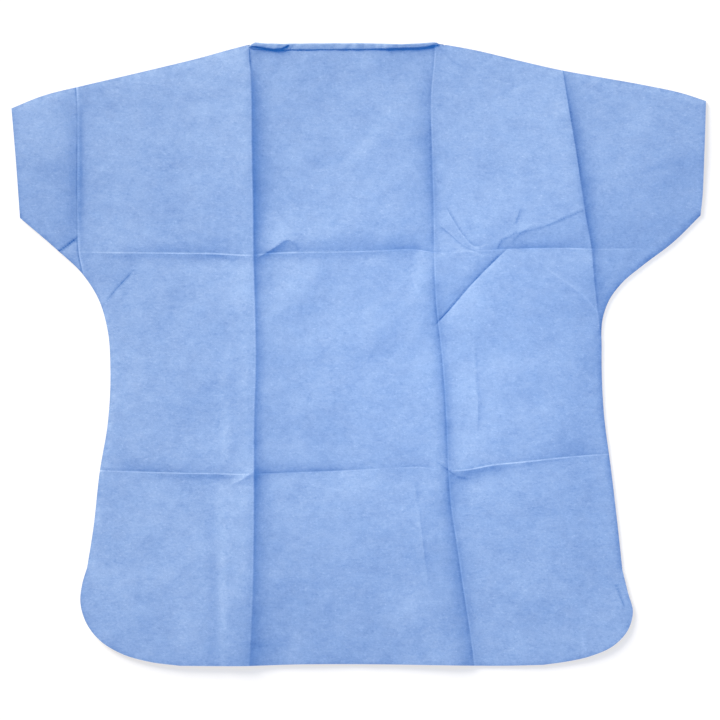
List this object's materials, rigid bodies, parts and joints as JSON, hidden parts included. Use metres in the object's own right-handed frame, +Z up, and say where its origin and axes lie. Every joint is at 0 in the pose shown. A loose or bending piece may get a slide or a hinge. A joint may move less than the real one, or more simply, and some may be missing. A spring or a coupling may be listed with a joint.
{
  "type": "disposable scrub top",
  "caption": "Disposable light-blue nonwoven scrub top, kimono cut with a V-neck front, laid flat with its back up and creased from its folded pack.",
  "frame": {"origin": "on the surface that the garment lies on, under the middle of its box", "axes": "+X to the right and +Y from the hem to the neck, as seen from above with the back side up; +Z up"},
  "size_m": [0.8332, 0.7475, 0.0066],
  "materials": {
    "cloth": "light-blue spunbond nonwoven, matte with a faint sheen, mottled",
    "binding": "the same nonwoven, folded over the neck edge in three layers"
  },
  "bodies": {
    "root": {"front_panel": "cloth", "back_panel": "cloth", "neck_band_front": "binding", "neck_band_back": "binding"}
  },
  "joints": []
}
